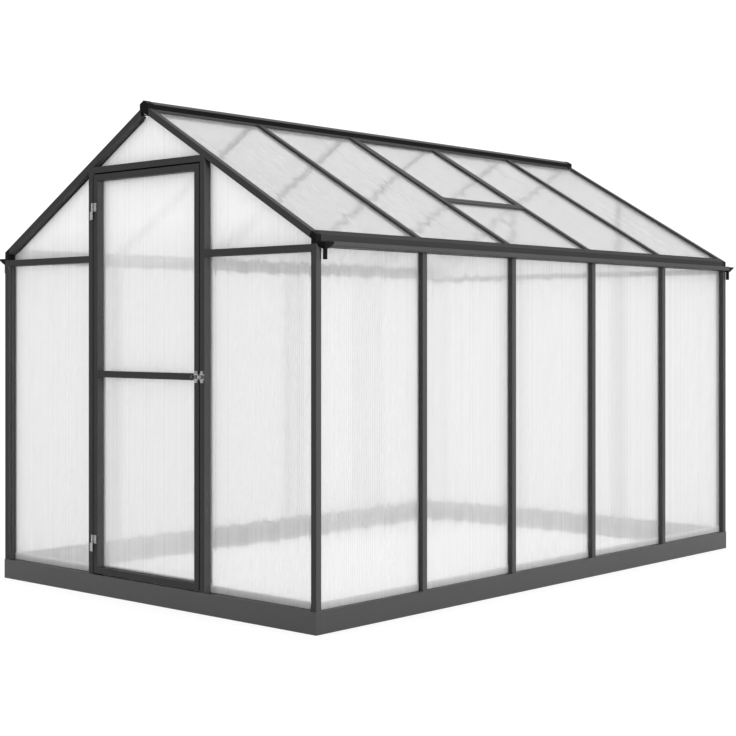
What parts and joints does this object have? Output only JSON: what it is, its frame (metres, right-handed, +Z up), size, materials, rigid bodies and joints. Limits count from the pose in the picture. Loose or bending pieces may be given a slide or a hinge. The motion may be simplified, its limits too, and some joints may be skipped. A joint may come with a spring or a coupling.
{
  "type": "polycarbonate greenhouse",
  "caption": "Walk-in greenhouse with a dark metal frame, clear twin-wall panes, a pitched roof, gutters, a hinged door with a slide bolt and a raised base.",
  "frame": {"origin": "middle of the part's box, on the ground", "axes": "+X to the right across the gable as seen from the door, +Y from the door gable to the rear gable, +Z up"},
  "size_m": [1.986, 2.963, 1.9961],
  "materials": {
    "frame_metal": "matt dark grey powder coat",
    "base_metal": "satin dark grey coated sheet",
    "black_plastic": "moulded black plastic",
    "pane": "twin-wall polycarbonate with fine flutes",
    "zinc": "bright zinc plate"
  },
  "bodies": {
    "frame": {"base_front": "base_metal", "base_rear": "base_metal", "base_sides": "base_metal", "base_corners": "base_metal", "front_left_post": "frame_metal", "front_right_post": "frame_metal", "rear_corner_posts": "frame_metal", "left_wall_posts": "frame_metal", "right_wall_posts": "frame_metal", "left_eave_beam": "frame_metal", "right_eave_beam": "frame_metal", "left_gutter": "frame_metal", "right_gutter": "frame_metal", "gutter_outlets": "black_plastic", "eave_corner_caps": "black_plastic", "ridge_beam": "frame_metal", "ridge_end_caps": "black_plastic", "front_left_rafter": "frame_metal", "front_right_rafter": "frame_metal", "rear_rafters": "frame_metal", "left_roof_bars": "frame_metal", "right_roof_bars": "frame_metal", "door_jambs": "frame_metal", "door_header": "frame_metal", "door_stops": "black_plastic", "front_tie_rails": "frame_metal", "rear_mullions": "frame_metal", "rear_tie_rails": "frame_metal", "left_wall_panes": "pane", "right_wall_panes": "pane", "front_gable_panes": "pane", "rear_gable_panes": "pane", "left_roof_panes": "pane", "right_roof_panes": "pane", "vent_frame": "frame_metal", "vent_pane": "pane", "vent_sill": "frame_metal", "hinge_frame_leaves": "zinc", "latch_keeper": "zinc"},
    "door": {"door_hinge_stile": "frame_metal", "door_latch_stile": "frame_metal", "door_rails": "frame_metal", "door_panes": "pane", "hinge_door_leaves": "zinc", "latch_plate": "zinc"},
    "bolt": {"latch_bolt": "zinc"}
  },
  "joints": [
    {"name": "door_hinge", "type": "hinge", "parent": "frame", "child": "door", "pos_m": [-0.327, -1.4645, 0.9], "axis": [0, 0, -1], "range_deg": [0, 110]},
    {"name": "bolt_slide", "type": "slide", "parent": "door", "child": "bolt", "axis": [1, 0, 0], "range_m": [0, 0.013]}
  ]
}
